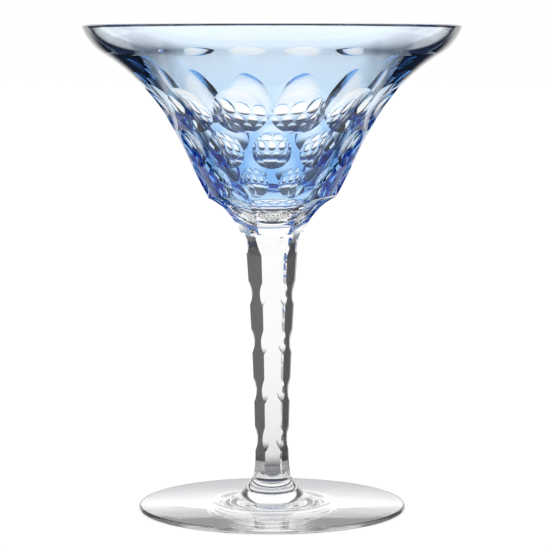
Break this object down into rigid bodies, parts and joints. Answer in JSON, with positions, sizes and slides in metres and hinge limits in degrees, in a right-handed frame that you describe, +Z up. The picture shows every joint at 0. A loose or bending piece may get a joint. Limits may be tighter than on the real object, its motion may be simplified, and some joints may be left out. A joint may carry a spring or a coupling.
{
  "type": "martini glass",
  "caption": "Stemmed cocktail glass with a blue-cased cone bowl, rows of round lens cuts, a notched six-sided stem and a round flared foot.",
  "frame": {"origin": "middle of the foot, on the table it stands on", "axes": "+Z up the stem to the rim; -Y is the side seen in the picture, +X to its right"},
  "size_m": [0.1336, 0.1336, 0.172],
  "materials": {
    "clear_crystal": "polished clear lead-free crystal",
    "blue_casing": "polished light blue cased glass",
    "stem_crystal": "cut and polished clear crystal",
    "foot_crystal": "polished clear crystal"
  },
  "bodies": {
    "root": {"bowl_lining": "clear_crystal", "bowl_casing": "blue_casing", "stem": "stem_crystal", "foot": "foot_crystal"}
  },
  "joints": []
}
